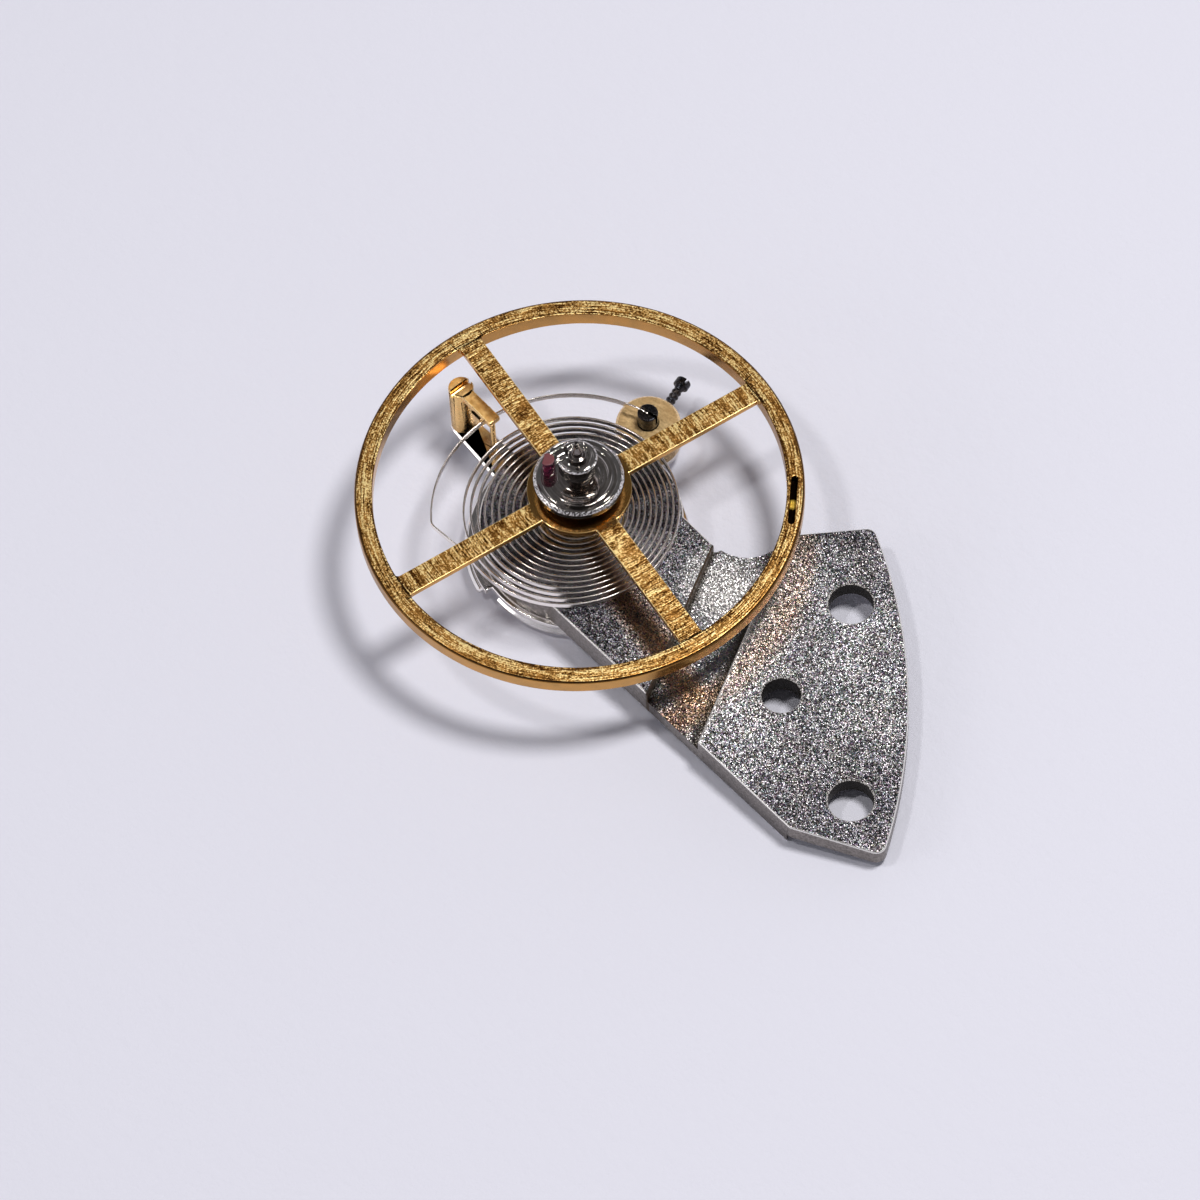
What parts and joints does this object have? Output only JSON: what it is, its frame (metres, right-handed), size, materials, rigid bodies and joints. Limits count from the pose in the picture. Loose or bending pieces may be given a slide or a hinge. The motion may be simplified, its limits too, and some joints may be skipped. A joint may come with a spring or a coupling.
{
  "type": "balance wheel with hairspring and cock",
  "caption": "Four-arm gilt balance wheel on its staff with double roller and flat hairspring, carried by a balance cock with stud carrier and regulator.",
  "frame": {"origin": "middle of the lower pivot's cylindrical end, on the balance staff's axis", "axes": "+Z along the balance staff towards the lower pivot's tip, +X from the staff towards the cock's screw hole"},
  "size_m": [0.0148, 0.0094, 0.0041],
  "materials": {
    "gilt": "brushed gilt",
    "polished_gilt": "polished gilt",
    "polished_steel": "black polished",
    "spring_alloy": "rolled strip",
    "blued_steel": "dark blued",
    "ring_steel": "polished",
    "blasted_nickel": "sandblasted nickel",
    "setting_brass": "turned",
    "ruby": "polished"
  },
  "bodies": {
    "cock": {"balance_cock": "blasted_nickel", "shock_block": "setting_brass", "shock_spring": "polished_gilt"},
    "setting": {"shock_setting": "setting_brass", "hole_jewel": "ruby", "cap_jewel": "ruby"},
    "stud_carrier": {"stud_carrier": "ring_steel", "stud_holder": "polished_gilt", "hairspring_stud": "blued_steel", "stud_screw": "blued_steel"},
    "regulator": {"regulator": "ring_steel", "curb_pin": "polished_gilt"},
    "boot": {"regulator_boot": "polished_gilt"},
    "balance": {"balance_wheel": "gilt", "balance_staff": "polished_steel", "impulse_roller": "polished_steel", "safety_roller": "polished_steel", "impulse_jewel": "ruby", "collet": "setting_brass", "hairspring": "spring_alloy"}
  },
  "joints": [
    {"name": "stud_carrier_turn", "type": "hinge", "parent": "cock", "child": "stud_carrier", "pos_m": [0, 0, -0.0037], "axis": [0, 0, 1], "range_deg": [-15, 15]},
    {"name": "balance_swing", "type": "hinge", "parent": "stud_carrier", "child": "balance", "pos_m": [0, 0, -0.0017], "axis": [0, 0, 1], "range_deg": [-300, 300], "stiffness_Nm_per_rad": 0.00000044, "deforming": ["hairspring"]},
    {"name": "regulator_turn", "type": "hinge", "parent": "cock", "child": "regulator", "pos_m": [0, 0, -0.00388], "axis": [0, 0, 1], "range_deg": [-15, 15]},
    {"name": "boot_turn", "type": "hinge", "parent": "regulator", "child": "boot", "pos_m": [-0.00389, 0.00021, -0.003], "axis": [0, 0, 1], "range_deg": [0, 90]},
    {"name": "shock_lift", "type": "slide", "parent": "cock", "child": "setting", "axis": [0, 0, -1], "range_m": [0, 0.00004], "stiffness_N_per_m": 100, "deforming": ["shock_spring"]}
  ]
}
